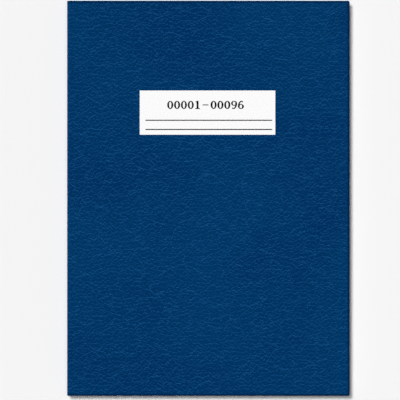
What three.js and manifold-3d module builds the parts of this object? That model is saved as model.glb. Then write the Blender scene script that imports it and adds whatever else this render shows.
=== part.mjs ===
// A hardcover ledger book: a sewn block of ruled leaves in a case covered with blue leatherette.
// Millimetres. The book lies on its back cover. X runs from the spine to the fore-edge,
// Y from the tail to the head, Z from the back cover to the front cover.
// The origin is under the middle of the closed book, on the surface that it lies on.

import * as THREE from 'three';
import { mergeVertices } from 'three/addons/utils/BufferGeometryUtils.js';
import Module from 'manifold-3d';

const wasm = await Module();
wasm.setup();

// Closed case, outside
const COVER_WIDTH = 213.1;
const COVER_HEIGHT = 298;

// Sheet and board thicknesses
const CLOTH = 0.3;
const BOARD = 2;
const PASTEDOWN = 0.15;
const FLYLEAF = 0.15;
const LEAF = 0.09;
const SPINE_CARD = 1;
const STRIP_SHORT = 0.2;
const LINING = 0.2;
const MULL = 0.2;

// Block of leaves
const SECTIONS = 6;
const LEAVES_PER_SECTION = 16;
const TURNING_LEAVES = 4;
const LEAF_HEIGHT = 292;
const SQUARE = 3;

// Case details
const TURN_IN = 15;
const PASTEDOWN_MARGIN = 3.5;
const RELIEF_STEP = 0.4;
const MULL_FLANGE_WIDTH = 25;
const MULL_LENGTH = 267;
const LINING_LENGTH = 286;
const JOINT_GAP = 3;
const EDGE_ROUND = 0.5;
const CORNER_ROUND = 1.2;

// Back of the block
const BACK_FROM_HINGE = 0.6;
const TURN_LINE_FROM_HINGE = 6.4;
const BEND_ZONE = 6;
const LEAF_CLEARANCE = 0.2;
const THREADS = 5;
const THREAD_SPACING = 58;
const THREAD_RADIUS = 0.3;
const KERF = 1.2;
const THREAD_SHORT = 0.4;
const HEADBAND_RADIUS = 0.75;
const HEADBAND_TAB = 12;
const HEADBAND_ABOVE = 0.1;
const HEADBAND_SHORT = 0.3;

// How far a cutting box runs past what it cuts
const PAST = 5;

// Label on the front cover, placed from the middle of the cover
const LABEL_WIDTH = 102.7;
const LABEL_HEIGHT = 33.8;
const LABEL_THICK = 0.1;
const LABEL_X = -0.64;
const LABEL_Y = 64.6;

// Heights, worked out from the thicknesses above
const COVER_THICK = CLOTH + BOARD + CLOTH + PASTEDOWN;
const SECTION_THICK = LEAVES_PER_SECTION * LEAF;
const BLOCK_LOW = COVER_THICK;
const SECTIONS_LOW = BLOCK_LOW + FLYLEAF;
const SECTIONS_HIGH = SECTIONS_LOW + SECTIONS * SECTION_THICK;
const BLOCK_HIGH = SECTIONS_HIGH + FLYLEAF;
const TOP = BLOCK_HIGH + COVER_THICK;

// Places along X. Both cover hinges lie on the line x = HINGE_X, at the block's two faces,
// and the cover cloth rounds the spine's edges about them.
const SPINE_X = -COVER_WIDTH / 2;
const FORE_X = COVER_WIDTH / 2;
const HINGE_X = SPINE_X + COVER_THICK;
const BOARD_X = HINGE_X + JOINT_GAP;
const BACK_X = HINGE_X - BACK_FROM_HINGE;
const TURN_X = HINGE_X + TURN_LINE_FROM_HINGE;
const ROOT_X = TURN_X + BEND_ZONE;
const LEAF_X = ROOT_X + LEAF_CLEARANCE;
const LEAF_FORE_X = FORE_X - SQUARE;

const COLOURS = {
  leatherette: { color: '#033866', roughness: 0.45 },
  greyboard: { color: '#8f8a7f', roughness: 0.95 },
  spineCard: { color: '#a39c8b', roughness: 0.95 },
  endpaper: { color: '#f1efe8', roughness: 0.9 },
  leaves: { color: '#f4f2ea', roughness: 0.9 },
  mull: { color: '#e4dfcf', roughness: 0.95 },
  kraft: { color: '#a98255', roughness: 0.9 },
  headband: { color: '#e9e6de', roughness: 0.8 },
  thread: { color: '#efece2', roughness: 0.8 },
  label: { color: '#ffffff', roughness: 0.6 },
};

const book = new THREE.Group();

// Adds a named piece to the book
function add(name, geometry, finish) {
  const material = new THREE.MeshStandardMaterial({ ...COLOURS[finish], metalness: 0 });
  const mesh = new THREE.Mesh(geometry, material);
  mesh.name = name;
  book.add(mesh);
}

// A box between two corners
function block(low, high) {
  const size = high.map((value, i) => value - low[i]);
  const geometry = new THREE.BoxGeometry(...size);
  geometry.translate(...low.map((value, i) => value + size[i] / 2));
  return geometry;
}

// A sheet with its faces level: edges in X, half its height in Y, and its lower and upper faces
function sheet(x0, x1, halfHeight, z0, z1) {
  return block([x0, -halfHeight, z0], [x1, halfHeight, z1]);
}

// An outline in X and Z, drawn out along Y by the given height, half each way
function drawnAlongY(shape, height) {
  const geometry = new THREE.ExtrudeGeometry(shape, { depth: height, bevelEnabled: false, curveSegments: 8 });
  geometry.translate(0, 0, -height / 2);
  geometry.rotateX(Math.PI / 2);
  return geometry;
}

// An outline in X and Y, drawn out along Z between two heights
function drawnAlongZ(shape, z0, z1) {
  const geometry = new THREE.ExtrudeGeometry(shape, { depth: z1 - z0, bevelEnabled: false, curveSegments: 8 });
  geometry.translate(0, 0, z0);
  return geometry;
}

// A geometry as a solid that can be cut
function solidOf(geometry) {
  const bare = geometry.clone();
  bare.deleteAttribute('normal');
  bare.deleteAttribute('uv');
  const merged = mergeVertices(bare, 1e-5);
  return new wasm.Manifold(new wasm.Mesh({
    numProp: 3,
    vertProperties: new Float32Array(merged.attributes.position.array),
    triVerts: new Uint32Array(merged.index.array),
  }));
}

function geometryOf(solid) {
  const mesh = solid.getMesh();
  const geometry = new THREE.BufferGeometry();
  geometry.setAttribute('position', new THREE.BufferAttribute(mesh.vertProperties, 3));
  geometry.setIndex(new THREE.BufferAttribute(mesh.triVerts, 1));
  geometry.computeVertexNormals();
  return geometry;
}

// A geometry with others cut out of it
function minus(geometry, ...cuts) {
  const cutter = (solid, cut) => solid.subtract(solidOf(cut));
  return geometryOf(cuts.reduce(cutter, solidOf(geometry)));
}

// The covers are alike from head to tail, so a part of the front cover is the back cover's,
// turned over by half a turn about X
function turnedOver(geometry) {
  const copy = geometry.clone();
  copy.rotateX(Math.PI);
  copy.translate(0, 0, TOP);
  return copy;
}

// Outline of a cover, a distance inside its edges, with its two fore-edge corners rounded
function coverOutline(left, inset, radius) {
  const x1 = FORE_X - inset;
  const y1 = COVER_HEIGHT / 2 - inset;
  const outline = new THREE.Shape();
  outline.moveTo(left, -y1);
  outline.lineTo(x1 - radius, -y1);
  outline.absarc(x1 - radius, -y1 + radius, radius, -Math.PI / 2, 0);
  outline.lineTo(x1, y1 - radius);
  outline.absarc(x1 - radius, y1 - radius, radius, 0, Math.PI / 2);
  outline.lineTo(left, y1);
  return outline;
}

// Board of the back cover
function backBoard() {
  const outline = coverOutline(BOARD_X, CLOTH, CORNER_ROUND + EDGE_ROUND - CLOTH);
  return drawnAlongZ(outline, CLOTH, CLOTH + BOARD);
}

// Leatherette on the back board: the outside, three wrapped edges and their turn-ins
function backCoverCloth() {
  const half = COVER_HEIGHT / 2;
  const left = BOARD_X - PAST;
  const thick = CLOTH + BOARD + CLOTH;
  const skin = new THREE.ExtrudeGeometry(coverOutline(left, EDGE_ROUND, CORNER_ROUND), {
    depth: thick - 2 * EDGE_ROUND,
    bevelThickness: EDGE_ROUND,
    bevelSize: EDGE_ROUND,
    bevelSegments: 2,
    curveSegments: 4,
  });
  skin.translate(0, 0, EDGE_ROUND);
  const boardOutline = coverOutline(left - PAST, CLOTH, CORNER_ROUND + EDGE_ROUND - CLOTH);
  const room = drawnAlongZ(boardOutline, CLOTH, CLOTH + BOARD);
  const inside = sheet(left - PAST, FORE_X - TURN_IN, half - TURN_IN, CLOTH + BOARD / 2, thick + PAST);
  const spineSide = sheet(left - PAST, BOARD_X, half + PAST, -PAST, thick + PAST);
  return minus(skin, room, inside, spineSide);
}

// The pasted-down half of the back endpaper: it lies on the board, and steps up over the turn-ins
// and the mull's flange
function backPastedown() {
  const onBoard = CLOTH + BOARD;
  const half = COVER_HEIGHT / 2 - PASTEDOWN_MARGIN;
  const fore = FORE_X - PASTEDOWN_MARGIN;
  const flange = BOARD_X + MULL_FLANGE_WIDTH;
  const hollow = COVER_HEIGHT / 2 - TURN_IN;
  const whole = sheet(BOARD_X, fore, half, onBoard, COVER_THICK);
  const pocket = sheet(flange + RELIEF_STEP, FORE_X - TURN_IN - RELIEF_STEP, hollow - RELIEF_STEP,
    onBoard + PASTEDOWN, COVER_THICK + PAST);
  const under = sheet(BOARD_X - PAST, fore + PAST, half + PAST, onBoard - PAST, onBoard + CLOTH);
  const kept = sheet(flange, FORE_X - TURN_IN, hollow, onBoard - 2 * PAST, onBoard + CLOTH + PAST);
  return minus(whole, pocket, minus(under, kept));
}

// The mull's flange on the back board, under the pastedown
function backMullFlange() {
  return sheet(BOARD_X, BOARD_X + MULL_FLANGE_WIDTH, MULL_LENGTH / 2, CLOTH + BOARD, CLOTH + BOARD + CLOTH);
}

// Leatherette over the back joint: round the spine's edge, then level to the board
function backJointCloth() {
  const inner = COVER_THICK - CLOTH;
  const outline = new THREE.Shape();
  outline.moveTo(HINGE_X - COVER_THICK, BLOCK_LOW);
  outline.absarc(HINGE_X, BLOCK_LOW, COVER_THICK, Math.PI, 1.5 * Math.PI);
  outline.lineTo(BOARD_X, BLOCK_LOW - COVER_THICK);
  outline.lineTo(BOARD_X, BLOCK_LOW - inner);
  outline.lineTo(HINGE_X, BLOCK_LOW - inner);
  outline.absarc(HINGE_X, BLOCK_LOW, inner, 1.5 * Math.PI, Math.PI, true);
  return drawnAlongY(outline, COVER_HEIGHT);
}

// Leatherette over the spine strip, turned in over its two ends
function spineCloth() {
  const half = COVER_HEIGHT / 2;
  const cardIn = SPINE_X + CLOTH + SPINE_CARD;
  const outline = new THREE.Shape();
  outline.moveTo(SPINE_X, -half);
  outline.lineTo(cardIn + CLOTH, -half);
  outline.lineTo(cardIn + CLOTH, -half + TURN_IN);
  outline.lineTo(cardIn, -half + TURN_IN);
  outline.lineTo(cardIn, -half + CLOTH);
  outline.lineTo(SPINE_X + CLOTH, -half + CLOTH);
  outline.lineTo(SPINE_X + CLOTH, half - CLOTH);
  outline.lineTo(cardIn, half - CLOTH);
  outline.lineTo(cardIn, half - TURN_IN);
  outline.lineTo(cardIn + CLOTH, half - TURN_IN);
  outline.lineTo(cardIn + CLOTH, half);
  outline.lineTo(SPINE_X, half);
  return drawnAlongZ(outline, BLOCK_LOW, BLOCK_HIGH);
}

function spineStrip() {
  return sheet(SPINE_X + CLOTH, SPINE_X + CLOTH + SPINE_CARD, COVER_HEIGHT / 2 - CLOTH,
    BLOCK_LOW + STRIP_SHORT, BLOCK_HIGH - STRIP_SHORT);
}

// One folded section: a slab whose back edge is a round fold, with kerfs for the sewing.
// The first section is lower past its root, where its turning leaves lie on it.
function section(number) {
  const z0 = SECTIONS_LOW + (SECTIONS - number) * SECTION_THICK;
  const z1 = z0 + SECTION_THICK;
  const fold = SECTION_THICK / 2;
  const outline = new THREE.Shape();
  outline.moveTo(BACK_X + fold, z0);
  outline.lineTo(LEAF_FORE_X, z0);
  if (number === 1) {
    const lowered = z1 - TURNING_LEAVES * LEAF;
    outline.lineTo(LEAF_FORE_X, lowered);
    outline.lineTo(ROOT_X, lowered);
    outline.lineTo(ROOT_X, z1);
  } else {
    outline.lineTo(LEAF_FORE_X, z1);
  }
  outline.lineTo(BACK_X + fold, z1);
  outline.absarc(BACK_X + fold, z0 + fold, fold, Math.PI / 2, 1.5 * Math.PI);
  const kerfs = threadPlaces().map((y) => block(
    [BACK_X - PAST, y - KERF / 2, z0 - PAST],
    [BACK_X + KERF, y + KERF / 2, z1 + PAST],
  ));
  return minus(drawnAlongY(outline, LEAF_HEIGHT), ...kerfs);
}

// Where the sewing crosses the block's back, from the tail to the head
function threadPlaces() {
  const middle = (THREADS - 1) / 2;
  return Array.from({ length: THREADS }, (_, i) => (i - middle) * THREAD_SPACING);
}

function sewingThread(y) {
  const length = SECTIONS_HIGH - SECTIONS_LOW - 2 * THREAD_SHORT;
  const strand = new THREE.CylinderGeometry(THREAD_RADIUS, THREAD_RADIUS, length, 8);
  strand.rotateX(Math.PI / 2);
  strand.translate(BACK_X + KERF / 2, y, (SECTIONS_LOW + SECTIONS_HIGH) / 2);
  return strand;
}

// A leaf that turns, counted from the front
function turningLeaf(number) {
  const z1 = SECTIONS_HIGH - (number - 1) * LEAF;
  return sheet(LEAF_X, LEAF_FORE_X, LEAF_HEIGHT / 2, z1 - LEAF, z1);
}

// A woven band: a round bead above the block's edge, and a tab glued on the block's back.
// end is 1 at the head and -1 at the tail.
function headband(end) {
  const half = LEAF_HEIGHT / 2;
  const beadX = BACK_X - MULL + HEADBAND_RADIUS;
  const beadY = half + HEADBAND_RADIUS + HEADBAND_ABOVE;
  const reach = beadX - BACK_X;
  const meets = Math.sqrt(HEADBAND_RADIUS ** 2 - reach ** 2);
  const startAngle = Math.atan2(-meets, -reach);
  const outline = new THREE.Shape();
  outline.moveTo(BACK_X - MULL, half - HEADBAND_TAB);
  outline.lineTo(BACK_X, half - HEADBAND_TAB);
  outline.lineTo(BACK_X, beadY - meets);
  outline.absarc(beadX, beadY, HEADBAND_RADIUS, startAngle, Math.PI);
  const band = drawnAlongZ(outline, SECTIONS_LOW + HEADBAND_SHORT, SECTIONS_HIGH - HEADBAND_SHORT);
  if (end < 0) {
    band.rotateX(Math.PI);
    band.translate(0, 0, SECTIONS_LOW + SECTIONS_HIGH);
  }
  return band;
}

function label() {
  return block(
    [LABEL_X - LABEL_WIDTH / 2, LABEL_Y - LABEL_HEIGHT / 2, TOP],
    [LABEL_X + LABEL_WIDTH / 2, LABEL_Y + LABEL_HEIGHT / 2, TOP + LABEL_THICK],
  );
}

// Case
const caseParts = [
  ['board', backBoard(), 'greyboard'],
  ['cover_cloth', backCoverCloth(), 'leatherette'],
  ['joint_cloth', backJointCloth(), 'leatherette'],
  ['mull_flange', backMullFlange(), 'mull'],
  ['pastedown', backPastedown(), 'endpaper'],
];
for (const [name, geometry, finish] of caseParts) {
  add(`back_${name}`, geometry, finish);
  add(`front_${name}`, turnedOver(geometry), finish);
}
add('spine_cloth', spineCloth(), 'leatherette');
add('spine_strip', spineStrip(), 'spineCard');
add('label', label(), 'label');

// Block
for (let number = 1; number <= SECTIONS; number += 1) {
  add(`section_${number}`, section(number), 'leaves');
}
for (let number = 1; number <= TURNING_LEAVES; number += 1) {
  add(`leaf_${number}`, turningLeaf(number), 'leaves');
}
threadPlaces().forEach((y, i) => add(`sewing_thread_${i + 1}`, sewingThread(y), 'thread'));
const halfLeaf = LEAF_HEIGHT / 2;
add('back_endpaper_fold', sheet(BACK_X, ROOT_X, halfLeaf, BLOCK_LOW, SECTIONS_LOW), 'endpaper');
add('back_flyleaf', sheet(LEAF_X, LEAF_FORE_X, halfLeaf, BLOCK_LOW, SECTIONS_LOW), 'endpaper');
add('front_endpaper_fold', sheet(BACK_X, ROOT_X, halfLeaf, SECTIONS_HIGH, BLOCK_HIGH), 'endpaper');
add('front_flyleaf', sheet(LEAF_X, LEAF_FORE_X, halfLeaf, SECTIONS_HIGH, BLOCK_HIGH), 'endpaper');
add('mull_spine', sheet(BACK_X - MULL, BACK_X, MULL_LENGTH / 2, BLOCK_LOW, BLOCK_HIGH), 'mull');
add('spine_lining', sheet(BACK_X - MULL - LINING, BACK_X - MULL, LINING_LENGTH / 2, SECTIONS_LOW,
  SECTIONS_HIGH), 'kraft');
add('headband_head', headband(1), 'headband');
add('headband_tail', headband(-1), 'headband');

export default book;
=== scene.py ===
# The looks of a hardcover ledger book in blue leatherette: case, endpapers, ruled leaves and label.

import math

import bmesh
import bpy
import numpy as np
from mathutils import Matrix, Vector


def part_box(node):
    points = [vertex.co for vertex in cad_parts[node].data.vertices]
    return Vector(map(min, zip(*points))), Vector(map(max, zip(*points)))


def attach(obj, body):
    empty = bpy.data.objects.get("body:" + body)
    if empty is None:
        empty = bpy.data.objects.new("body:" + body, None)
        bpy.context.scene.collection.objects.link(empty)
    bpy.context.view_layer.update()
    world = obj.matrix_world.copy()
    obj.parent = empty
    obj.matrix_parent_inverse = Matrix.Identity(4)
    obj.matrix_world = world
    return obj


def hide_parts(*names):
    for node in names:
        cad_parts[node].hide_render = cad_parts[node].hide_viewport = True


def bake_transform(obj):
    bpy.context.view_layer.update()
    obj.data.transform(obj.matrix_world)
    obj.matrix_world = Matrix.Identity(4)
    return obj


MM = 0.001
METRE = 1000

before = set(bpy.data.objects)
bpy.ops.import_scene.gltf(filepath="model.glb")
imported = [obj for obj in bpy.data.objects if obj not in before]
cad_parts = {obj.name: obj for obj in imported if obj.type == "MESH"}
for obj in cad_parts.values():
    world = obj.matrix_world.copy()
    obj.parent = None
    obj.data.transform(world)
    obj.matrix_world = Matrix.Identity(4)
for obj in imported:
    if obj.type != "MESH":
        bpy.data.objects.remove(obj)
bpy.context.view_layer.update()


def node_box(node):
    """A node's lowest and highest corners, in mm."""
    low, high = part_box(node)
    return np.array(low) / MM, np.array(high) / MM


cloth_low, cloth_high = node_box("front_cover_cloth")
spine_low, spine_high = node_box("spine_cloth")
fold_low, _ = node_box("front_endpaper_fold")
_, flyleaf_high = node_box("front_flyleaf")
_, flange_high = node_box("front_mull_flange")
label_low, label_high = node_box("label")
band_low, band_high = node_box("headband_head")

# Heights of the block's two faces and of the whole book, and the thickness of a cover, in mm
BLOCK_LOW = spine_low[2]
BLOCK_HIGH = spine_high[2]
COVER = BLOCK_LOW
TOP = BLOCK_HIGH + COVER

# The hinge line's place, and places along X from it: fore-edge, board, block's back and leaves
HINGE_X = spine_low[0] + COVER
FORE = cloth_high[0] - HINGE_X
HALF_HEIGHT = cloth_high[1]
BOARD_X = cloth_low[0] - HINGE_X
BACK_X = fold_low[0] - HINGE_X
LEAF_FORE = flyleaf_high[0] - HINGE_X
LEAF_HALF = flyleaf_high[1]

# Leaves, in mm: thickness, air between two, where they turn, and how far along X from there the rows of
# a turning leaf are crowded
LEAF = 0.09
SHEET_GAP = 0.012
TURN_X = 6.4
ROLLS = {
    "front_flyleaf": 3.4,
    "leaf_1": 4.1,
    "leaf_2": 4.8,
    "leaf_3": 5.5,
    "leaf_4": 6.1,
    "back_flyleaf": 4,
}
SECTIONS = 6
SHEETS = 8
TURNING_LEAVES = 4
THREADS = 5

# Cut edges of the leaves, in mm: how far they stand back, are trimmed and wave, and points across
EDGE_CLEAR = 0.03
EDGE_BORDER = 0.4
TRIM = (-0.09, 0.03)
EDGE_WAVE = 0.02
LEAF_COLUMNS = 27
FAR_SHARES = np.linspace(0.12, 1, 9)[:-1]
random = np.random.default_rng(96)

# Case, in mm; the names that end in _A are distances along the cloth from the spine's middle
SPINE_HALF = (BLOCK_HIGH - BLOCK_LOW) / 2
ARC = COVER * math.pi / 2
JOINT_A = SPINE_HALF + ARC
BOARD_A = JOINT_A + BOARD_X
FORE_A = JOINT_A + FORE
PASTEDOWN = 0.15
CLOTH = 0.3
TURN_IN = 15
SPINE_DEPTH = 1.6
JOINT_DEPTH = 0.6
BOARD_DEPTH = COVER - PASTEDOWN
EDGE_ROUND = 0.7
INNER_ROUND = 0.4
CORNER_ROUND = 0.6
JOINT_DIP = 0.22
JOINT_DIP_AT = 1.5
JOINT_DIP_WIDTH = 0.8
FOLD_START = (-2.75, 0)
FOLD_END = (1.15, 2.75)

# Spine card, pasted sheets and the step down from the turn-ins to the board, in mm
STRIP_SHORT = 1.2
STRIP_SOFT = 0.4
PASTEDOWN_MARGIN = 3.5
PASTEDOWN_LIFT = 0.012
RELIEF = 0.28
RELIEF_WIDTH = 1.6

# Headbands, in mm: tape, one turn of the thread, its ridge as a share, and the rounded ends
TAPE = 0.18
BAND_TURN = 0.5
BAND_RIDGE = 0.07
BAND_END = 0.35

# Photograph: its width in pixels, the pixel of the book's middle, and the camera
PIXELS = 400
BOOK_PIXEL = (208.37, 198.28)
PIXEL_MM = 0.7541
LENS = 400
SENSOR = 36

# Label and its print, in mm; places are from the middle of the cover
TITLE_X = -2.1
TITLE_Y = 70.4
TITLE_HEIGHT = 6.2
TITLE_WIDTH = 57
TITLE = "00001-00096"
DASH_WIDTH = 1.35
RULE_X = (-47.5, 48.1)
RULE_Y = (58.83, 51.9)
RULE_THICK = 0.8
LABEL_INSET = 0.24
LABEL_EDGE = 0.15
LABEL_DROP = 0.03
PRINT_LIFT = 0.006
PRINT_LAYER = 0.003

# Grain of the leatherette: cells to a mm, their stretch along X, and the crease's width in mm
FINE_GRAINS = (0.42, 0.95, 0.48)
SMALL_CELLS = (0.32, 0.95, 0.56)
LONG_WRINKLES = (0.11, 1.1, 0.7)

# Noises that bend the creases: scale, and reach in mm
GRAIN_BEND = (0.6, 0.7)
CELL_BEND = (0.5, 0.7)
WRINKLE_BEND = (0.05, 9.0)
WRINKLE_JOG = (0.28, 2.6)

# Half the step over which a crease's wall is read, in mm along X and Y; the walls so found get a
# painted highlight or painted shade
WALL_STEP = (-0.02, 0.28)

# Ruling of the leaves, in mm: square, half a line, its soft edge, and the bare edge of the leaf
SQUARE = 5.0
HALF_LINE = 0.09
LINE_SOFT = 0.05
BARE_EDGE = (0.3, 0.6)

# Floor, in mm
FLOOR_HALF = 3000
FLOOR_LEVEL = -0.05

# Light: the world's strength low and overhead, the heights between which it changes, and two lamps
WORLD_LOW = 0.9
WORLD_HIGH = 0.04
WORLD_BAND = (0.06, 0.36)
KEY_STRENGTH = 2.17
KEY_SOFT = 12
KEY_TILT = (10.5, 12.5)
FILL_STRENGTH = 0.75
FILL_SOFT = 26


# Colours; a pair is the darkest and the lightest of an uneven surface
def linear(red, green, blue):
    """A colour written as sRGB numbers out of 255, as linear light."""
    shares = (value / 255 for value in (red, green, blue))
    light = [s / 12.92 if s <= 0.04045 else ((s + 0.055) / 1.055) ** 2.4 for s in shares]
    return (*light, 1.0)


BLUE_GROUND = (linear(0, 47, 94), linear(0, 54, 100))
# Painted shade: the colour of the small cells' walls that face away from the head
BLUE_PAINTED_SHADE = linear(0, 38, 80)
# Painted highlight: the colour of crease walls that face the head, as if lit from there
BLUE_PAINTED_HIGHLIGHT = linear(27, 90, 145)
# Colour of the cloth where it is darker, within about 2 mm of the fore-edge, head and tail
BLUE_EDGE_DARK = linear(0, 34, 70)
LEAF_PAPER = (linear(243, 240, 229), linear(250, 248, 240))
LEAF_LINE = linear(166, 184, 214)
FLYLEAF_PAPER = (linear(241, 240, 234), linear(249, 248, 244))
PASTED_PAPER = (linear(240, 239, 232), linear(248, 247, 243))
LABEL_PAPER = (linear(252, 252, 252), linear(255, 255, 255))
PRINT_INK = (linear(4, 4, 5), linear(12, 11, 12))
BOARD_FLECKS = ((0.3, linear(116, 110, 99)), (0.6, linear(146, 140, 128)), (0.8, linear(172, 166, 152)))
BUFF_CARD = (linear(150, 138, 114), linear(184, 172, 146))
GAUZE = (linear(176, 166, 138), linear(232, 227, 212))
KRAFT = (linear(150, 112, 70), linear(186, 148, 104))
SILK = (linear(28, 70, 128), linear(240, 238, 230))
# Off-white thread; the darker end is painted shade for the twist's grooves
WAXED_AND_GROOVE_SHADE = (linear(206, 200, 182), linear(240, 236, 224))
FLOOR = ((0.934, 0.934, 0.934, 1.0), (0.942, 0.942, 0.942, 1.0))


# Shader expressions
class Shade:
    """A socket of a node tree. Arithmetic on it adds Math nodes, and node() adds any other node."""

    def __init__(self, tree, socket=None):
        self.tree = tree
        self.socket = socket

    def node(self, kind, settings=None, inputs=None, output=0):
        made = self.tree.nodes.new(kind)
        for name, value in (settings or {}).items():
            if name == "stops":
                ramp = made.color_ramp
                while len(ramp.elements) < len(value):
                    ramp.elements.new(1.0)
                for element, (place, colour) in zip(ramp.elements, value):
                    element.position = place
                    element.color = colour
            else:
                setattr(made, name, value)
        for key, value in (inputs or {}).items():
            if isinstance(value, Shade):
                self.tree.links.new(value.socket, made.inputs[key])
            else:
                made.inputs[key].default_value = value
        return Shade(self.tree, made.outputs[output])

    def math(self, operation, *values):
        return self.node("ShaderNodeMath", {"operation": operation}, dict(enumerate(values)))

    def __add__(self, other):
        return self.math("ADD", self, other)

    __radd__ = __add__

    def __mul__(self, other):
        return self.math("MULTIPLY", self, other)

    __rmul__ = __mul__

    def __sub__(self, other):
        return self.math("SUBTRACT", self, other)

    def __rsub__(self, other):
        return self.math("SUBTRACT", other, self)

    def __truediv__(self, other):
        return self.math("DIVIDE", self, other)

    def __abs__(self):
        return self.math("ABSOLUTE", self)

    def least(self, other):
        return self.math("MINIMUM", self, other)

    def most(self, other):
        return self.math("MAXIMUM", self, other)

    def sine(self):
        return self.math("SINE", self)

    def fraction(self):
        return self.math("FRACT", self)

    def smooth(self, low, high, start=0.0, end=1.0):
        """start below low, end above high, and a smooth step between."""
        return self.node(
            "ShaderNodeMapRange",
            {"interpolation_type": "SMOOTHSTEP"},
            {"Value": self, "From Min": low, "From Max": high, "To Min": start, "To Max": end},
        )

    def mix(self, first, second):
        """A colour between two, with this as the factor."""
        ends = {0: self, 6: first, 7: second}
        return self.node("ShaderNodeMix", {"data_type": "RGBA"}, ends, output=2)

    def noise(self, place, scale, detail=2.0, rough=0.5):
        """Soft random clouds, about 0 to 1; scale is their number to a mm."""
        inputs = {"Vector": place, "Scale": scale, "Detail": detail, "Roughness": rough}
        return self.node("ShaderNodeTexNoise", None, inputs)

    def vector(self, operation, *values):
        return self.node("ShaderNodeVectorMath", {"operation": operation}, dict(enumerate(values)))

    def split(self, place):
        """The X, Y and Z of a place."""
        parts = self.node("ShaderNodeSeparateXYZ", None, {0: place})
        node = parts.socket.node
        return [Shade(self.tree, node.outputs[i]) for i in range(3)]


def finish(name, make):
    """A material whose Principled sockets are what make() gives.

    Its height, depth_mm and bump, where it gives them, make a bump of that depth and strength.
    """
    material = bpy.data.materials.new(name)
    material.use_nodes = True
    tree = material.node_tree
    shader = tree.nodes["Principled BSDF"]
    looks = make(Shade(tree))
    if "height" in looks:
        height = looks.pop("height")
        depth = looks.pop("depth_mm") * MM
        inputs = {"Height": height, "Distance": depth, "Strength": looks.pop("bump")}
        looks["Normal"] = height.node("ShaderNodeBump", None, inputs)
    for socket, value in looks.items():
        if isinstance(value, Shade):
            tree.links.new(value.socket, shader.inputs[socket])
        else:
            shader.inputs[socket].default_value = value
    return material


def flat_place(s):
    """The piece's own flat coordinates in mm, from its UV map."""
    uv = s.node("ShaderNodeUVMap", {"uv_map": "flat"})
    return s.vector("MULTIPLY", uv, (METRE, METRE, 0))


def object_place(s):
    """Object coordinates in mm."""
    place = s.node("ShaderNodeTexCoord", output=3)
    return s.vector("MULTIPLY", place, (METRE, METRE, METRE))


def cell_edges(s, place, scale, stretch, width):
    """1 along the edges of irregular cells, 0 inside them.

    scale is the number of cells to a mm, stretch their length along X, and width the edge's in mm.
    """
    lean = s.vector("MULTIPLY", place, (scale / stretch, scale, 1))
    inputs = {"Vector": lean, "Scale": 1.0, "Randomness": 1.0}
    settings = {"voronoi_dimensions": "2D", "feature": "DISTANCE_TO_EDGE"}
    away = s.node("ShaderNodeTexVoronoi", settings, inputs)
    return away.smooth(0.2 * width * scale, width * scale, 1.0, 0.0)


def warped(s, place, scale, reach):
    """place moved by a noise, up to about reach mm each way."""
    settings = {"noise_dimensions": "2D"}
    moved = s.node("ShaderNodeTexNoise", settings, {"Vector": place, "Scale": scale}, output=1)
    centred = s.vector("SUBTRACT", moved, (0.5, 0.5, 0.5))
    return s.vector("MULTIPLY_ADD", centred, (2 * reach,) * 3, place)


def creases(s, flat):
    """How deep the embossed creases are: fine grains, small cells, and long wrinkles with jogs."""
    uneven = warped(s, flat, *GRAIN_BEND)
    grains = cell_edges(s, uneven, *FINE_GRAINS)
    cells = cell_edges(s, warped(s, uneven, *CELL_BEND), *SMALL_CELLS)
    jogged = warped(s, warped(s, uneven, *WRINKLE_BEND), *WRINKLE_JOG)
    wrinkles = cell_edges(s, jogged, *LONG_WRINKLES)
    return grains, cells, wrinkles


def leatherette(s):
    """Blue coated cloth, embossed. The wall of each crease that faces the head is lighter: a painted
    highlight, as if lit from the head, and the small cells' walls that face away have painted shade.

    A wall is found from how much deeper its crease is a small step nearer to the head.
    """
    flat = flat_place(s)
    step_x, step_y = WALL_STEP
    above = creases(s, s.vector("ADD", flat, (step_x, step_y, 0)))
    below = creases(s, s.vector("ADD", flat, (-step_x, -step_y, 0)))
    patchy = s.noise(flat, scale=0.16).smooth(0.36, 0.60)
    kept = s.noise(flat, scale=0.09).smooth(0.40, 0.58)
    shares = (0.15, patchy * 0.34 + 0.46, kept * 0.55 + 0.3)
    # Painted highlight: walls that face the head are made lighter in the base colour, as if lit from
    # the head
    walls = [(near - far).smooth(0.36, 0.96) * share for near, far, share in zip(above, below, shares)]
    painted_highlight = walls[0].most(walls[1].most(walls[2]))
    # Painted shade: walls of the small cells that face away from the head are darker in the base colour
    painted_shade = (above[1] - below[1]).smooth(-0.9, -0.1, 1.0, 0.0) * 0.4
    cloud = s.noise(flat, scale=0.012)
    mottle = s.noise(flat, scale=0.9, detail=1.0)
    ground = (cloud * 1.1 + mottle * 0.3).smooth(0.51, 0.88).mix(*BLUE_GROUND)
    # Base colour: the ground, painted shade on the small cells' far walls, and painted highlights over
    # both
    net = painted_highlight.mix(painted_shade.mix(ground, BLUE_PAINTED_SHADE), BLUE_PAINTED_HIGHLIGHT)
    along, across, _ = s.split(flat)
    inside = (FORE_A - abs(along)).least(HALF_HEIGHT - abs(across))
    # Darker within about 2 mm of the fore-edge, head and tail, and round those edges
    edge_darkening = inside.smooth(0.9, 2.2, 0.8, 0.0)
    deep = above[0] * -0.3 - above[1] * 0.5 - above[2] * 0.6
    return {
        "Base Color": edge_darkening.mix(net, BLUE_EDGE_DARK),
        "Roughness": 0.5 - painted_highlight * 0.06,
        "Specular IOR Level": 0.03,
        "height": deep + mottle * 0.2,
        "depth_mm": 0.1,
        "bump": 0.6,
    }


def paper_fibre(s, place):
    """Uneven paper surface, about 0 to 1."""
    fine = s.noise(place, scale=2.2, detail=4.0, rough=0.6)
    coarse = s.noise(place, scale=0.12, detail=3.0)
    return fine * 0.6 + coarse * 0.4


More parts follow.
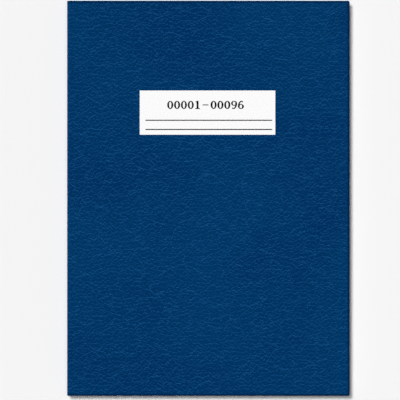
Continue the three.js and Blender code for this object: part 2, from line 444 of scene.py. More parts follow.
def ruled_paper(s):
    """Off-white leaf with pale blue squares printed on it, up to just inside its cut edges."""
    place = flat_place(s)
    along, across, _ = s.split(place)
    edge = SQUARE / 2 - HALF_LINE

    def line(value):
        away = abs((value / SQUARE).fraction() - 0.5) * SQUARE
        return away.smooth(edge - LINE_SOFT, edge + LINE_SOFT)

    inside = (LEAF_FORE - along).least(LEAF_HALF - abs(across)).smooth(*BARE_EDGE)
    ruled = line(along).most(line(across)) * inside
    fibre = paper_fibre(s, place)
    return {
        "Base Color": (ruled * 0.8).mix(fibre.mix(*LEAF_PAPER), LEAF_LINE),
        "Roughness": 0.9,
        "Specular IOR Level": 0.2,
        "height": fibre,
        "depth_mm": 0.02,
        "bump": 0.4,
    }


def endpaper(s):
    """Plain white paper, a little cooler than the leaves."""
    fibre = paper_fibre(s, flat_place(s))
    return {
        "Base Color": fibre.mix(*FLYLEAF_PAPER),
        "Roughness": 0.88,
        "Specular IOR Level": 0.2,
        "height": fibre,
        "depth_mm": 0.03,
        "bump": 0.5,
    }


def pasted_endpaper(s):
    """The same paper, pasted down: the gauze under it shows near the joint."""
    place = flat_place(s)
    along, across, _ = s.split(place)
    fibre = paper_fibre(s, place)
    threads = (along * 4.2).sine() + (across * 4.2).sine()
    under = along.smooth(26.5, 28.5, 1.0, 0.0)
    gauze = threads * 0.12 * under
    return {
        "Base Color": fibre.mix(*PASTED_PAPER),
        "Roughness": 0.88,
        "Specular IOR Level": 0.2,
        "height": fibre * 0.7 + gauze,
        "depth_mm": 0.05,
        "bump": 0.6,
    }


def label_paper(s):
    """Bright white smooth paper."""
    fibre = paper_fibre(s, object_place(s))
    return {
        "Base Color": fibre.mix(*LABEL_PAPER),
        "Roughness": 0.6,
        "Specular IOR Level": 0.2,
        "height": fibre,
        "depth_mm": 0.012,
        "bump": 0.3,
    }


def ink(s):
    """Black print, a little uneven where it sits on the paper."""
    fibre = paper_fibre(s, object_place(s))
    return {
        "Base Color": fibre.mix(*PRINT_INK),
        "Roughness": 0.7,
        "Specular IOR Level": 0.1,
    }


def greyboard(s):
    """Grey pressed board with darker and lighter flecks."""
    fleck = s.noise(object_place(s), scale=1.6, detail=4.0, rough=0.7)
    colour = s.node("ShaderNodeValToRGB", {"stops": BOARD_FLECKS}, {0: fleck})
    return {
        "Base Color": colour,
        "Roughness": 0.95,
        "height": fleck,
        "depth_mm": 0.06,
        "bump": 0.5,
    }


def spine_card(s):
    """Buff card with fibres along the spine."""
    place = s.vector("MULTIPLY", object_place(s), (1, 0.15, 1))
    fibre = s.noise(place, scale=1.8, detail=4.0)
    return {
        "Base Color": fibre.mix(*BUFF_CARD),
        "Roughness": 0.95,
        "height": fibre,
        "depth_mm": 0.04,
        "bump": 0.5,
    }


def weave(s, place, pitch):
    """Threads crossing at right angles: 1 on a thread and 0 in a hole."""
    x, y, z = s.split(place)
    first = (y * (math.pi / pitch)).sine()
    second = ((x + z) * (math.pi / pitch)).sine()
    return abs(first).most(abs(second)).smooth(0.5, 0.95)


def mull(s):
    """Stiff open gauze, with glue between its threads."""
    thread = weave(s, object_place(s), pitch=1.1)
    return {
        "Base Color": thread.mix(*GAUZE),
        "Roughness": 0.95,
        "height": thread,
        "depth_mm": 0.12,
        "bump": 0.8,
    }


def kraft(s):
    """Brown wrapping paper with long fibres."""
    place = s.vector("MULTIPLY", object_place(s), (1, 0.12, 1))
    fibre = s.noise(place, scale=2.5, detail=5.0, rough=0.65)
    return {
        "Base Color": fibre.mix(*KRAFT),
        "Roughness": 0.9,
        "height": fibre,
        "depth_mm": 0.03,
        "bump": 0.5,
    }


def headband_thread(s):
    """Wound silk in two colours, a millimetre of each along the band."""
    z = s.split(object_place(s))[2]
    band = abs((z * 0.5).fraction() - 0.5).smooth(0.235, 0.265)
    wound = (z * 12.6).sine()
    return {
        "Base Color": band.mix(*SILK),
        "Roughness": 0.55,
        "height": wound,
        "depth_mm": 0.05,
        "bump": 0.7,
    }


def sewing_thread(s):
    """Off-white waxed thread with a twist, with painted shade in the twist's grooves."""
    x, y, z = s.split(object_place(s))
    twist = (z * 9.0 + x * 7.0 + y * 7.0).sine()
    return {
        # Painted shade: the colour follows the twist's bump, darker where it is low, in its grooves
        "Base Color": (twist * 0.5 + 0.5).mix(*WAXED_AND_GROOVE_SHADE),
        "Roughness": 0.7,
        "height": twist,
        "depth_mm": 0.06,
        "bump": 0.7,
    }


def floor_paper(s):
    """Plain pale backdrop, hardly mottled."""
    cloud = s.noise(object_place(s), scale=0.01)
    return {
        "Base Color": cloud.mix(*FLOOR),
        "Roughness": 1.0,
        "Specular IOR Level": 0.0,
    }


# Meshes from arrays
def quads(rows, columns, start=0, flip=False):
    """Faces of a grid of points, row by row; flip turns them over."""
    i, j = np.meshgrid(np.arange(rows - 1), np.arange(columns - 1), indexing="ij")
    a = (start + i * columns + j).ravel()
    corners = (a, a + columns, a + columns + 1, a + 1)
    return np.stack(corners[::-1] if flip else corners, axis=1)


def strip(first, second):
    """Faces between two equal runs of point numbers."""
    return np.stack([first[:-1], first[1:], second[1:], second[:-1]], axis=1)


def piece(name, points, faces, material, flat, sharp=40, merge=False):
    """A mesh object from points in mm, faces, and flat coordinates in mm for its UV map.

    Edges are sharp where faces meet at more than sharp degrees; merge joins points in one place.
    """
    mesh = bpy.data.meshes.new(name)
    mesh.from_pydata((points * MM).tolist(), [], faces.tolist())
    layer = mesh.uv_layers.new(name="flat")
    corner = np.empty(len(mesh.loops), dtype=np.int32)
    mesh.loops.foreach_get("vertex_index", corner)
    layer.data.foreach_set("uv", (flat[corner] * MM).astype(np.float32).ravel())
    if merge:
        work = bmesh.new()
        work.from_mesh(mesh)
        bmesh.ops.remove_doubles(work, verts=work.verts, dist=1e-7)
        work.to_mesh(mesh)
        work.free()
    mesh.polygons.foreach_set("use_smooth", np.ones(len(mesh.polygons), dtype=bool))
    mesh.set_sharp_from_angle(angle=math.radians(sharp))
    mesh.materials.append(material)
    made = bpy.data.objects.new(name, mesh)
    bpy.context.scene.collection.objects.link(made)
    return made


def shell(upper, lower):
    """Points and faces of a closed sheet between two grids of points, upper's faces looking up.

    Both grids are rows x columns x 3, with rows along X and columns along Y; the four borders are
    joined by strips.
    """
    rows, columns = upper.shape[:2]
    count = rows * columns
    points = np.concatenate([upper.reshape(-1, 3), lower.reshape(-1, 3)])
    number = np.arange(count).reshape(rows, columns)
    ring = np.concatenate([number[0, :], number[1:, -1], number[-1, -2::-1], number[-2::-1, 0]])
    sides = strip(ring, ring + count)
    faces = np.concatenate([quads(rows, columns), quads(rows, columns, count, flip=True), sides])
    return points, faces


def joined(parts):
    """Several (points, faces, flat) as one."""
    starts = np.cumsum([0] + [len(points) for points, _, _ in parts[:-1]])
    points = np.concatenate([p for p, _, _ in parts])
    faces = np.concatenate([f + s for (_, f, _), s in zip(parts, starts)])
    flat = np.concatenate([u for _, _, u in parts])
    return points, faces, flat


def step_between(value, low, high):
    """A smooth step from 0 to 1 between low and high."""
    t = np.clip((value - low) / (high - low), 0, 1)
    return t * t * (3 - 2 * t)


def bend_between(made, start, end):
    """Bakes the piece's place into its points.

    start and end, two points in mm, are not used.
    """
    tuple(v * MM for v in start)
    tuple(v * MM for v in end)
    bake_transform(made)


def cover_side(side):
    """The name of a cover and the height of the block's face at it; side is 1 in front, -1 behind."""
    return ("front", BLOCK_HIGH) if side > 0 else ("back", BLOCK_LOW)


# Case
def case_path(a):
    """Where the cloth lies at a distance a from the spine's middle, and its outward direction.

    Up the flat spine, a quarter circle about the hinge, then level, with a shallow dip in the joint.
    x and z are counted from the hinge.
    """
    turn = np.clip((a - SPINE_HALF) / COVER, 0, math.pi / 2)
    out_x = -np.cos(turn)
    out_z = np.sin(turn)
    level = np.clip(a - JOINT_A, 0, None)
    dip = JOINT_DIP * np.exp(-(((level - JOINT_DIP_AT) / JOINT_DIP_WIDTH) ** 2)) * (a > JOINT_A)
    x = COVER * out_x + level
    z = COVER * out_z + np.clip(a - SPINE_HALF, None, 0) - dip
    return x, z, out_x, out_z


def case_depth(a):
    """Thickness of what the cloth is folded over: spine card, only cloth in the joint, then board."""
    places = [0, SPINE_HALF - 0.3, SPINE_HALF + 0.3, BOARD_A - 0.5, BOARD_A]
    return np.interp(a, places, [SPINE_DEPTH, SPINE_DEPTH, JOINT_DEPTH, JOINT_DEPTH, BOARD_DEPTH])


def on_case(a, b, depth, side):
    """Points of the case from flat coordinates and the depth under the outer face."""
    x, z, out_x, out_z = case_path(a)
    _, block = cover_side(side)
    return np.stack([HINGE_X + x - out_x * depth, b, block + side * (z - out_z * depth)], axis=-1)


def outer_face():
    """Flat coordinates of the cloth's outer face, as two grids, and the middles of its rounded corners.

    Rows run up the spine, round its edge, over the joint and along the board. The outer corners are
    rounded by the map of a square to a disc: u, v go to u sqrt(1 - v v / 2) and v sqrt(1 - u u / 2).
    """
    spread = np.array([1.0, 0.6, 0.3, 0.0]) * CORNER_ROUND
    edge_a = FORE_A - EDGE_ROUND
    a = np.concatenate([
        np.linspace(0, SPINE_HALF - 0.4, 3),
        SPINE_HALF + ARC * np.linspace(0, 1, 5),
        JOINT_A + np.array([0.5, 1.0, 1.5, 2.0, 2.5, BOARD_X, BOARD_X + 0.5]),
        np.linspace(BOARD_A + 4, edge_a - 4, 10),
        edge_a - spread,
    ])
    half_b = HALF_HEIGHT - np.minimum(EDGE_ROUND, 0.5 * case_depth(a))
    share = np.linspace(-1, 1, 13)
    middle = share[1:-1, None] * (half_b - CORNER_ROUND - 3)[None, :]
    low = -half_b[None, :] + spread[::-1][:, None]
    grid_b = np.concatenate([low, middle, -low[::-1]]).T
    grid_a = np.repeat(a[:, None], grid_b.shape[1], axis=1)
    core_a = edge_a - CORNER_ROUND
    core_b = half_b[:, None] - CORNER_ROUND
    u = np.clip((grid_a - core_a) / CORNER_ROUND, 0, 1)
    v = np.clip((np.abs(grid_b) - core_b) / CORNER_ROUND, 0, 1)
    corner = (u > 0) & (v > 0)
    round_a = core_a + CORNER_ROUND * u * np.sqrt(1 - v**2 / 2)
    round_b = np.sign(grid_b) * (core_b + CORNER_ROUND * v * np.sqrt(1 - u**2 / 2))
    core_b = np.repeat(core_b, grid_b.shape[1], axis=1)
    return np.where(corner, round_a, grid_a), np.where(corner, round_b, grid_b), core_a, core_b


def face_border(face_a, face_b, core_a, core_b):
    """The outer face's three free borders: point numbers, flat places and directions outward."""
    rows, columns = face_a.shape
    number = np.arange(rows * columns).reshape(rows, columns)
    border = np.concatenate([number[:, -1], number[-1, -2::-1], number[-2::-1, 0]])
    a = face_a.ravel()[border]
    b = face_b.ravel()[border]
    limit = core_b.ravel()[border]
    away_a = a - np.minimum(a, core_a)
    away_b = b - np.clip(b, -limit, limit)
    length = np.hypot(away_a, away_b)
    return border, a, b, away_a / length, away_b / length


def edge_rings(a, b, away_a, away_b):
    """Flat places and depths of the rings that carry the border on round the edge and in.

    A quarter circle at the outer edge, the side, a quarter circle at the inner edge, and the turn-in
    under the board, where the border is clipped to smaller and smaller rectangles.
    """
    deep = case_depth(a)
    outer = np.minimum(EDGE_ROUND, 0.5 * deep)
    inner = np.minimum(INNER_ROUND, 0.4 * deep)
    rings = [(outer * math.sin(t), outer * (1 - math.cos(t))) for t in np.radians([22.5, 45, 67.5, 90])]
    rings += [
        (outer - inner * (1 - math.cos(t)), deep - inner + inner * math.sin(t))
        for t in np.radians([0, 30, 60, 90])
    ]
    places = [(a + away_a * out, b + away_b * out, depth) for out, depth in rings]
    for inset, rise in ((2.0, 0), (8.0, 0), (TURN_IN, 0), (TURN_IN, 0.9 * CLOTH)):
        ring_a = np.minimum(a, FORE_A - inset)
        ring_b = np.clip(b, inset - HALF_HEIGHT, HALF_HEIGHT - inset)
        places.append((ring_a, ring_b, case_depth(ring_a) - rise))
    return places


def case_cloth(side, material):
    """The cloth of one cover, its joint and half the spine, wrapped round three edges.

    Rings of points run on from the outer face's border. Their flat coordinates go on outward by as
    much as the cloth has travelled from ring to ring.
    """
    prefix, block = cover_side(side)
    face_a, face_b, core_a, core_b = outer_face()
    border, border_a, border_b, away_a, away_b = face_border(face_a, face_b, core_a, core_b)
    points = [on_case(face_a.ravel(), face_b.ravel(), np.zeros(face_a.size), side)]
    flats = [np.stack([face_a.ravel(), face_b.ravel()], axis=-1)]
    faces = [quads(*face_a.shape)]
    last = border
    before = points[0][border]
    travelled = np.zeros(len(border))
    for k, (ring_a, ring_b, depth) in enumerate(edge_rings(border_a, border_b, away_a, away_b)):
        place = on_case(ring_a, ring_b, depth, side)
        travelled = travelled + np.linalg.norm(place - before, axis=1)
        new = face_a.size + k * len(border) + np.arange(len(border))
        points.append(place)
        flats.append(np.stack([border_a + away_a * travelled, border_b + away_b * travelled], axis=-1))
        faces.append(strip(last, new))
        last = new
        before = place
    points = np.concatenate(points)
    faces = np.concatenate(faces)[:, ::side]
    flat = np.concatenate(flats) * [side, 1]
    made = piece(f"{prefix}_case_cloth", points, faces, material, flat, sharp=60, merge=True)
    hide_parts(f"{prefix}_cover_cloth", f"{prefix}_joint_cloth", "spine_cloth")
    start = (HINGE_X + FOLD_START[0], 0, block + side * FOLD_START[1])
    end = (HINGE_X + FOLD_END[0], 0, block + side * FOLD_END[1])
    bend_between(made, start, end)


def pasted_sheet(side, material):
    """The pasted-down half of an endpaper, from the block's fold over the joint to its margin.

    It lies on the turn-ins and the gauze all round, and sinks to the board inside them by a smooth
    step on each side. Beside the fold it is as high as the leaves, and it widens over the joint.
    """
    prefix, block = cover_side(side)
    fore = FORE - PASTEDOWN_MARGIN
    half = HALF_HEIGHT - PASTEDOWN_MARGIN
    inner_low = flange_high[0] - HINGE_X
    inner_high = FORE - TURN_IN
    inner_half = HALF_HEIGHT - TURN_IN
    ramp = RELIEF_WIDTH * np.linspace(0, 1, 6)
    x = np.concatenate([
        np.linspace(BACK_X + 0.1, 0.9, 9),
        [1.5, 2.2, BOARD_X, 8.0, 18.0],
        inner_low + ramp,
        np.linspace(inner_low + 20, inner_high - 20, 8),
        inner_high - ramp[::-1],
        [inner_high + 5, fore - 0.5, fore],
    ])
    wide = LEAF_HALF + (half - LEAF_HALF) * step_between(x, 0.0, BOARD_X)
    ends = np.concatenate([[-inner_half - 5], -inner_half + ramp])
    y = np.concatenate([ends, np.linspace(-1, 1, 11) * (inner_half - 12), -ends[::-1]])
    grid_x = np.repeat(x[:, None], len(y) + 2, axis=1)
    inside = np.repeat(y[None, :], len(x), axis=0)
    grid_y = np.concatenate([-wide[:, None], inside, wide[:, None]], axis=1)
    sunk = (
        step_between(grid_x, inner_low, inner_low + RELIEF_WIDTH)
        * step_between(inner_high - grid_x, 0, RELIEF_WIDTH)
        * step_between(inner_half - np.abs(grid_y), 0, RELIEF_WIDTH)
    )
    seen = RELIEF * sunk + PASTEDOWN_LIFT
    over = seen + PASTEDOWN * 0.8
    flat = np.stack([grid_x, grid_y * side], axis=-1).reshape(-1, 2)
    flat = np.concatenate([flat, flat])

    def at(height):
        return np.stack([HINGE_X + grid_x, grid_y, block + side * height], axis=-1)

    upper, lower = (at(over), at(seen)) if side > 0 else (at(seen), at(over))
    points, faces = shell(upper, lower)
    made = piece(f"{prefix}_pasted_sheet", points, faces, material, flat, sharp=50)
    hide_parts(f"{prefix}_pastedown", f"{prefix}_endpaper_fold")
    bend_between(made, (HINGE_X - 0.3, 0, block), (HINGE_X + 0.5, 0, block))


# Leaves
def edge_wave():
    """A slow unevenness along the fore-edge: three sines with seeded phases."""
    t = np.linspace(0, 1, LEAF_COLUMNS)
    phases = random.uniform(0, 2 * math.pi, 3)
    return EDGE_WAVE * sum(np.sin(2 * math.pi * k * t + p) / k for k, p in zip((1, 2, 5), phases))


def trims(count):
    """How far cut edges stand from where they should be, in mm."""
    return random.uniform(*TRIM, count)


def leaf_height(head, tail):
    """Distances along Y across leaves, of which head and tail move the two cut edges outward.

    The move is the eighth power of the share of the way from the middle, so it stays near the edge.
    """
    share = np.linspace(-1, 1, LEAF_COLUMNS)[None, :]
    moved = np.where(share > 0, head[:, None], -tail[:, None]) * np.abs(share) ** 8
    return share * (LEAF_HALF - EDGE_CLEAR) + moved


def turning_sheet(node, start, material):
    """A leaf that turns, from its fold to the fore-edge, as a flat sheet in the block.

    Its rows of points are crowded from its turning line outward, over a length that is longer the
    lower a leaf lies in the block.
    """
    low, high = node_box(node)
    roll = ROLLS[node]
    x = np.concatenate([
        [start],
        TURN_X + roll * np.linspace(0, 1, 21),
        FAR_SHARES * LEAF_FORE,
        [LEAF_FORE - EDGE_BORDER, LEAF_FORE - EDGE_CLEAR],
    ])
    head, tail, fore = trims(3)
    grid_x = np.repeat(x[:, None], LEAF_COLUMNS, axis=1)
    grid_y = leaf_height(np.full(len(x), head), np.full(len(x), tail))
    grid_x[-1] = grid_x[-1] + fore + edge_wave()
    flat = np.stack([grid_x, grid_y], axis=-1).reshape(-1, 2)

    def at(level):
        return np.stack([HINGE_X + grid_x, grid_y, np.full_like(grid_x, level)], axis=-1)

    points, faces = shell(at(high[2] - SHEET_GAP / 2), at(low[2] + SHEET_GAP / 2))
    made = piece(f"{node}_sheet", points, faces, material, np.concatenate([flat, flat]), sharp=50)
    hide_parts(node)
    middle = (low[2] + high[2]) / 2
    turn = HINGE_X + TURN_X
    bend_between(made, (turn, 0, middle), (turn + roll, 0, middle))


def folded_sheet(low, high, order, upper_leaf):
    """One sheet folded round the section's back: two leaves and a half circle between them.

    order counts sheets from the outside of the fold. The sheet is a closed shell, half its thickness
    to each side of a path: in along the upper leaf, round the fold, and out along the lower leaf.
    Without upper_leaf it starts at the fold, because that leaf is one of those that turn.
    """
    middle = (low + high) / 2
    radius = (high - low) / 2 - (order + 0.5) * LEAF
    centre = BACK_X + (high - low) / 2
    ends = [LEAF_FORE - EDGE_CLEAR, LEAF_FORE - EDGE_BORDER]
    run = np.array([*ends, 190, 150, 110, 70, 30, 12.4, centre + 0.5])
    turn = np.linspace(math.pi / 2, 1.5 * math.pi, 9)
    upper_x = run if upper_leaf else np.empty(0)
    x = np.concatenate([upper_x, centre + radius * np.cos(turn), run[::-1]])
    z = np.concatenate([
        np.full(len(upper_x), middle + radius),
        middle + radius * np.sin(turn),
        np.full(len(run), middle - radius),
    ])
    out_x = np.concatenate([np.zeros(len(upper_x)), np.cos(turn), np.zeros(len(run))])
    out_z = np.concatenate([np.ones(len(upper_x)), np.sin(turn), -np.ones(len(run))])
    share = np.linspace(0, 1, len(x))
    head, tail, fore = trims(2), trims(2), trims(2)
    grid_y = leaf_height(head[0] + (head[1] - head[0]) * share, tail[0] + (tail[1] - tail[0]) * share)
    grid_x = np.repeat(x[:, None], LEAF_COLUMNS, axis=1)
    grid_x[-1] = grid_x[-1] + fore[0] + edge_wave()
    if upper_leaf:
        grid_x[0] = grid_x[0] + fore[1] + edge_wave()
    grid_z = np.repeat(z[:, None], LEAF_COLUMNS, axis=1)
    half = (LEAF - SHEET_GAP) / 2
    flat = np.stack([grid_x, grid_y], axis=-1).reshape(-1, 2)

    def at(offset):
        moved_x = HINGE_X + grid_x + out_x[:, None] * offset
        return np.stack([moved_x, grid_y, grid_z + out_z[:, None] * offset], axis=-1)

    points, faces = shell(at(-half), at(half))
    return points, faces, np.concatenate([flat, flat])


def folded_section(number, material):
    """A section of eight folded sheets; the first section leaves out the leaves that turn."""
    low, _ = node_box(f"section_{number}")
    high = low[2] + 2 * SHEETS * LEAF
    sheets = [
        folded_sheet(low[2], high, order, number > 1 or order >= TURNING_LEAVES)
        for order in range(SHEETS)
    ]
    points, faces, flat = joined(sheets)
    made = piece(f"section_{number}_sheets", points, faces, material, flat)
    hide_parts(f"section_{number}")
    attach(made, "text_block")


def wound_core(side):
    """Points and faces of a headband's wound core, a tube along Z.

    The radius is 1 - ridge + ridge cos(2 pi z / turn) times the core's, one ridge to each turn of the
    thread, and falls to 0 at both ends as a quarter circle does.
    """
    radius = (band_high[0] - band_low[0]) / 2
    z = np.linspace(band_low[2], band_high[2], 129)
    turn = np.linspace(0, 2 * math.pi, 17)[:-1]
    near_end = (1 - np.minimum(z - z[0], z[-1] - z) / BAND_END).clip(0, 1)
    closing = np.sqrt(np.clip(1 - near_end**2, 0, 1))
    wound = radius * (1 - BAND_RIDGE + BAND_RIDGE * np.cos(2 * math.pi * z / BAND_TURN)) * closing
    ring_x = (band_low[0] + band_high[0]) / 2 + wound[:, None] * np.cos(turn)[None, :]
    ring_y = side * (band_high[1] - radius + wound[:, None] * np.sin(turn)[None, :])
    ring_z = np.repeat(z[:, None], len(turn), axis=1)
    number = np.arange(ring_x.size).reshape(ring_x.shape)
    closed = np.concatenate([number, number[:, :1]], axis=1)
    faces = np.concatenate([strip(closed[i], closed[i + 1]) for i in range(len(z) - 1)])
    points = np.stack([ring_x, ring_y, ring_z], axis=-1).reshape(-1, 3)
    return points, faces[:, ::-side]


def headband(side, material):
    """A band at the head (side 1) or tail (side -1) of the block's back: a wound core on its tape."""
    name = "head" if side > 0 else "tail"
    core_points, core_faces = wound_core(side)
    core_y = band_high[1] - (band_high[0] - band_low[0]) / 2
    tape_y = side * np.linspace(band_low[1], core_y, 4)
    tape_z = np.linspace(band_low[2] + 0.1, band_high[2] - 0.1, 9)
    tape_points, tape_faces, tape_flat = upright_sheet(band_low[0], band_low[0] + TAPE, tape_y, tape_z)
    points, faces, flat = joined([
        (core_points, core_faces, np.zeros((len(core_points), 2))),
        (tape_points, tape_faces[:, ::side], tape_flat),
    ])
    made = piece(f"wound_band_{name}", points, faces, material, flat, merge=True)
    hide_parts(f"headband_{name}")
    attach(made, "text_block")


def upright_sheet(x0, x1, y, z):
    """Points, faces and flat coordinates of a sheet that stands on edge, over rows in Y and Z."""
    grid_y, grid_z = np.meshgrid(y, z, indexing="ij")
    outside = np.stack([np.full_like(grid_y, x0), grid_y, grid_z], axis=-1)
    points, faces = shell(outside, outside + [x1 - x0, 0, 0])
    return points, faces[:, ::-1], np.stack([points[:, 1], points[:, 2]], axis=-1)


def spine_card_strip(material):
    """The card that stiffens the spine, a little narrower than the block.

    It is 0.7 as thick at its long edges as inside, by a smooth step.
    """
    low, high = node_box("spine_strip")
    y = np.concatenate([
        [low[1], low[1] + 0.2],
        np.linspace(low[1] + 20, high[1] - 20, 9),
        [high[1] - 0.2, high[1]],
    ])
    edge = np.array([0, 0.15, 0.4, 1.0])
    z = np.concatenate([low[2] + STRIP_SHORT + edge, high[2] - STRIP_SHORT - edge[::-1]])
    points, faces, flat = upright_sheet(low[0], high[0], y, z)
    near = np.minimum(points[:, 2] - z[0], z[-1] - points[:, 2])
    middle = (low[0] + high[0]) / 2
    points[:, 0] = middle + (points[:, 0] - middle) * (0.7 + 0.3 * step_between(near, 0, STRIP_SOFT))
    made = piece("spine_card_strip", points, faces, material, flat)
    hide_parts("spine_strip")
    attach(made, "text_block")


# Label and its print
def label_sheet(material):
    """The label: a thin sheet whose cut edges are turned down a little onto the cloth."""
    x = np.array([0, LABEL_EDGE, 0.5, 20, 40, 60, 80, 100])
    width = label_high[0] - label_low[0] - 2 * LABEL_INSET
    height = label_high[1] - label_low[1] - 2 * LABEL_INSET
    x = np.concatenate([x[x < width / 2], width - x[x < width / 2][::-1]])
    y = np.array([0, LABEL_EDGE, 0.5, 8, 16])
    y = np.concatenate([y, height - y[::-1]])
    grid_x, grid_y = np.meshgrid(x, y, indexing="ij")
    near = np.minimum(np.minimum(grid_x, width - grid_x), np.minimum(grid_y, height - grid_y))
    level = label_high[2] - LABEL_DROP * (1 - step_between(near, 0, LABEL_EDGE))
    left = label_low[0] + LABEL_INSET
    tail = label_low[1] + LABEL_INSET
    upper = np.stack([left + grid_x, tail + grid_y, level], axis=-1)
    lower = np.stack([upper[..., 0], upper[..., 1], np.full_like(level, label_low[2])], axis=-1)
    points, faces = shell(upper, lower)
    made = piece("label_sheet", points, faces, material, points[:, :2])
    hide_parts("label")
    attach(made, "front_cover")


def ring_shape(width, height, side_wall, end_wall, middle=(0, 0)):
    """Points and faces of an oval ring between two ellipses, thick at its sides, thin at its ends."""
    t = np.linspace(0, 2 * math.pi, 41)[:-1]
    round_t = np.stack([np.cos(t), np.sin(t)], axis=-1)
    outer = round_t * [width / 2, height / 2] + middle
    inner = round_t * [width / 2 - side_wall, height / 2 - end_wall] + middle
    count = len(t)
    order = np.append(np.arange(count), 0)
    return np.concatenate([outer, inner]), strip(order, order + count)


def bar_shape(x0, y0, x1, y1):
    """Points and faces of a rectangle."""
    points = np.array([[x0, y0], [x1, y0], [x1, y1], [x0, y1]], dtype=float)
    return points, np.array([[0, 1, 2, 3]])


def stroke_shape(path, walls):
    """Points and faces of a stroke along a path, with its half width at each point."""
    path = np.array(path, dtype=float)
    t = np.linspace(0, len(path) - 1, 6 * len(path))
    line = np.stack([np.interp(t, np.arange(len(path)), path[:, k]) for k in range(2)], axis=-1)
    wall = np.interp(t, np.arange(len(path)), walls)
    along = np.gradient(line, axis=0)
    along = along / np.linalg.norm(along, axis=1, keepdims=True)
    normal = np.stack([-along[:, 1], along[:, 0]], axis=-1) * wall[:, None]
    count = len(line)
    order = np.arange(count)
    return np.concatenate([line - normal, line + normal]), strip(order, order + count)


def digit(kind, height):
    """Points and faces of a digit or a dash, from its middle; shapes are 1 high before scaling."""
    if kind == "0":
        shapes = [ring_shape(0.74, 1.0, 0.23, 0.11)]
    elif kind == "1":
        shapes = [
            bar_shape(-0.12, -0.45, 0.12, 0.5),
            bar_shape(-0.28, -0.5, 0.28, -0.39),
            stroke_shape([(-0.25, 0.34), (-0.13, 0.40), (0.0, 0.45)], [0.05, 0.055, 0.05]),
        ]
    elif kind == "-":
        shapes = [bar_shape(-0.36, -0.055, 0.36, 0.055)]
    else:
        t = np.radians(np.linspace(182, 82, 12))
        back = np.stack([0.36 * np.cos(t) + 0.09, 0.64 * np.sin(t) - 0.19], axis=-1)
        shapes = [
            ring_shape(0.74, 0.62, 0.22, 0.1, (0, -0.19)),
            stroke_shape(back, np.linspace(0.11, 0.055, 12)),
            ring_shape(0.17, 0.17, 0.08, 0.08, (0.18, 0.39)),
        ]
        if kind == "9":
            shapes = [(-points, faces) for points, faces in shapes]
    points, faces = layered(shapes)
    return points * [height, height, 1], faces


def layered(shapes):
    """Points and faces of flat shapes that may overlap, each a hair above the one before."""
    starts = np.cumsum([0] + [len(points) for points, _ in shapes[:-1]])
    points = [
        np.column_stack([points[:, :2], np.full(len(points), k * PRINT_LAYER)])
        for k, (points, _) in enumerate(shapes)
    ]
    faces = [faces + start for (_, faces), start in zip(shapes, starts)]
    return np.concatenate(points), np.concatenate(faces)


def printed(name, points, faces, material):
    """A flat print on the label from points and faces in the label's plane."""
    made = piece(name, points + [0, 0, label_high[2] + PRINT_LIFT], faces, material, points[:, :2])
    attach(made, "front_cover")


def label_print(material):
    """A range of plain numbers in the title's place, and two ruled lines."""
    widths = np.array([DASH_WIDTH if kind == "-" else 1.0 for kind in TITLE])
    pitch = (TITLE_WIDTH - 0.6 * TITLE_HEIGHT) / (widths.sum() - 1)
    middles = (np.cumsum(widths) - widths / 2 - widths.sum() / 2) * pitch
    digits = []
    for kind, middle in zip(TITLE, middles):
        points, faces = digit(kind, TITLE_HEIGHT)
        digits.append((points + [TITLE_X + middle, TITLE_Y, 0], faces, points[:, :2]))
    points, faces, _ = joined(digits)
    printed("label_numbers", points, faces, material)
    half = RULE_THICK / 2
    points, faces = layered([bar_shape(RULE_X[0], y - half, RULE_X[1], y + half) for y in RULE_Y])
    printed("label_rules", points, faces, material)


# Floor, light and camera
def floor(material):
    """A wide level floor under the book."""
    places = np.linspace(-1, 1, 9) * FLOOR_HALF
    grid_x, grid_y = np.meshgrid(places, places, indexing="ij")
    points = np.stack([grid_x, grid_y, np.full_like(grid_x, FLOOR_LEVEL)], axis=-1).reshape(-1, 3)
    made = piece("floor", points, quads(*grid_x.shape), material, points[:, :2])


def light():
    """An even world, darker overhead, a soft lamp high at the upper left and a wide one overhead."""
    world = bpy.data.worlds.new("studio")
    bpy.context.scene.world = world
    world.use_nodes = True
    tree = world.node_tree
    background = tree.nodes["Background"]
    s = Shade(tree)
    up = s.split(s.node("ShaderNodeTexCoord", output=0))[2]
    strength = up.smooth(*WORLD_BAND, WORLD_LOW, WORLD_HIGH)
    tree.links.new(strength.socket, background.inputs["Strength"])
    background.inputs["Color"].default_value = (1, 1, 1, 1)
    lamp("key", KEY_STRENGTH, KEY_SOFT, KEY_TILT)
    lamp("fill", FILL_STRENGTH, FILL_SOFT, (0, 0))


def lamp(name, strength, soft, tilt):
    """A lamp overhead, leaning to the left and to the head by tilt, as wide as soft; all in degrees."""
    source = bpy.data.lights.new(name, "SUN")
    source.energy = strength
    source.angle = math.radians(soft)
    made = bpy.data.objects.new(name, source)
    made.rotation_euler = (math.radians(-tilt[1]), math.radians(-tilt[0]), 0)
    made.visible_glossy = False
    bpy.context.scene.collection.objects.link(made)


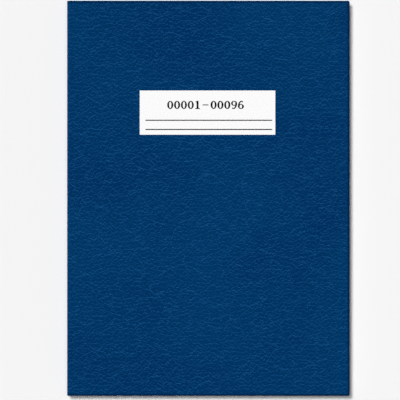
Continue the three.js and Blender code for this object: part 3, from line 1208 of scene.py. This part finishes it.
def camera():
    """Straight down from far away, so that the book's middle falls on its pixel of the photograph."""
    lens = bpy.data.cameras.new("camera")
    lens.lens = LENS
    lens.sensor_width = SENSOR
    lens.clip_end = 100
    width = PIXELS * PIXEL_MM
    x = (PIXELS / 2 - BOOK_PIXEL[0]) * PIXEL_MM
    y = (BOOK_PIXEL[1] - PIXELS / 2) * PIXEL_MM
    made = bpy.data.objects.new("camera", lens)
    made.location = (x * MM, y * MM, (TOP + width * LENS / SENSOR) * MM)
    bpy.context.scene.collection.objects.link(made)
    bpy.context.scene.camera = made


def repaint(node, material):
    """A CAD part keeps its shape and gets a material."""
    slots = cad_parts[node].data.materials
    slots.clear()
    slots.append(material)


cover_material = finish("leatherette_cloth", leatherette)
leaf_material = finish("ruled_leaf", ruled_paper)
flyleaf_material = finish("endpaper_sheet", endpaper)
pasted_material = finish("pasted_endpaper_sheet", pasted_endpaper)
label_material = finish("label_sheet_paper", label_paper)
ink_material = finish("label_ink", ink)
board_material = finish("greyboard_flecked", greyboard)
gauze_material = finish("mull_gauze", mull)
thread_material = finish("waxed_thread", sewing_thread)
band_material = finish("wound_silk", headband_thread)

for side in (1, -1):
    case_cloth(side, cover_material)
for side in (1, -1):
    pasted_sheet(side, pasted_material)
for flyleaf in ("front_flyleaf", "back_flyleaf"):
    turning_sheet(flyleaf, BACK_X + 0.05, flyleaf_material)
for number in range(1, TURNING_LEAVES + 1):
    turning_sheet(f"leaf_{number}", BACK_X + SHEETS * LEAF, leaf_material)
for number in range(1, SECTIONS + 1):
    folded_section(number, leaf_material)
for side in (1, -1):
    headband(side, band_material)
label_sheet(label_material)
label_print(ink_material)
spine_card_strip(finish("buff_card", spine_card))

for board in ("front_board", "back_board"):
    repaint(board, board_material)
for gauze in ("front_mull_flange", "back_mull_flange", "mull_spine"):
    repaint(gauze, gauze_material)
repaint("spine_lining", finish("kraft_lining", kraft))
for number in range(1, THREADS + 1):
    repaint(f"sewing_thread_{number}", thread_material)

floor(finish("pale_floor", floor_paper))
light()
camera()
bpy.context.scene.view_settings.view_transform = "Standard"
